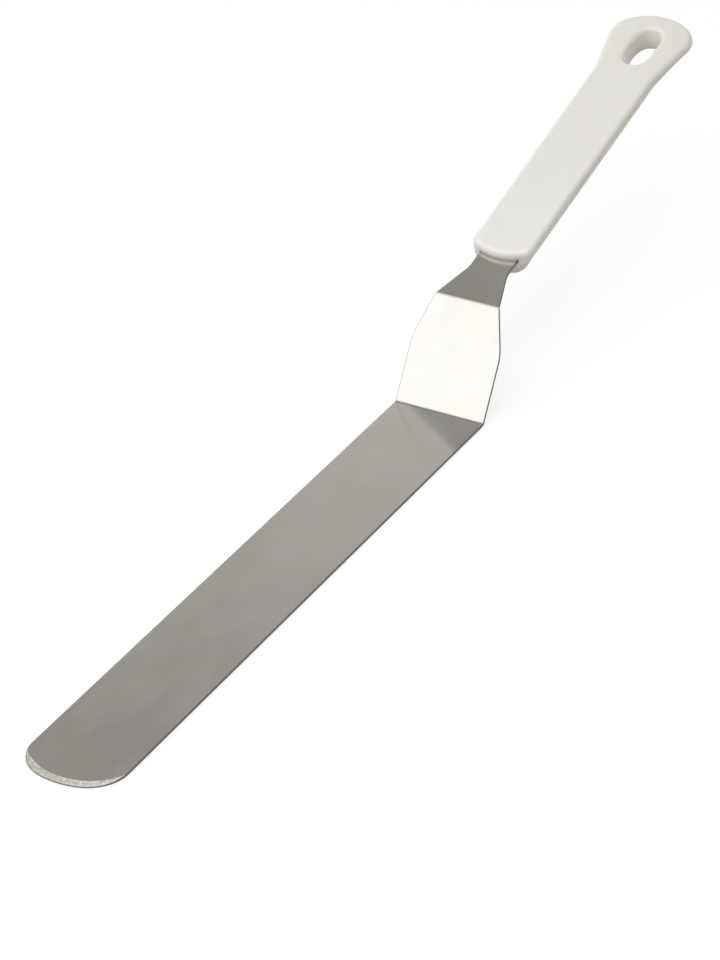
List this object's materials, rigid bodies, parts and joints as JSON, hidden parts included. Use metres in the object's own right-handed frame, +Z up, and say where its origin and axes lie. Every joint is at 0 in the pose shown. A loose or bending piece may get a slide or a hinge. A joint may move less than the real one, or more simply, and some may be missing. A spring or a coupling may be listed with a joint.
{
  "type": "offset spatula",
  "caption": "Cranked pastry spatula: long flat stainless blade with a rounded ground tip, stepped tapering neck and a white moulded handle with a hang slot.",
  "frame": {"origin": "on the surface that the blade lies on, under the middle of the whole tool's box", "axes": "+X along the tool from the blade's tip to the handle's butt, +Y across the blade, +Z up from the blade's underside"},
  "size_m": [0.4302, 0.034, 0.0787],
  "materials": {
    "steel": "fine satin stainless sheet",
    "plastic": "white polypropylene, satin gloss"
  },
  "bodies": {
    "root": {"blade": "steel", "handle": "plastic"}
  },
  "joints": []
}
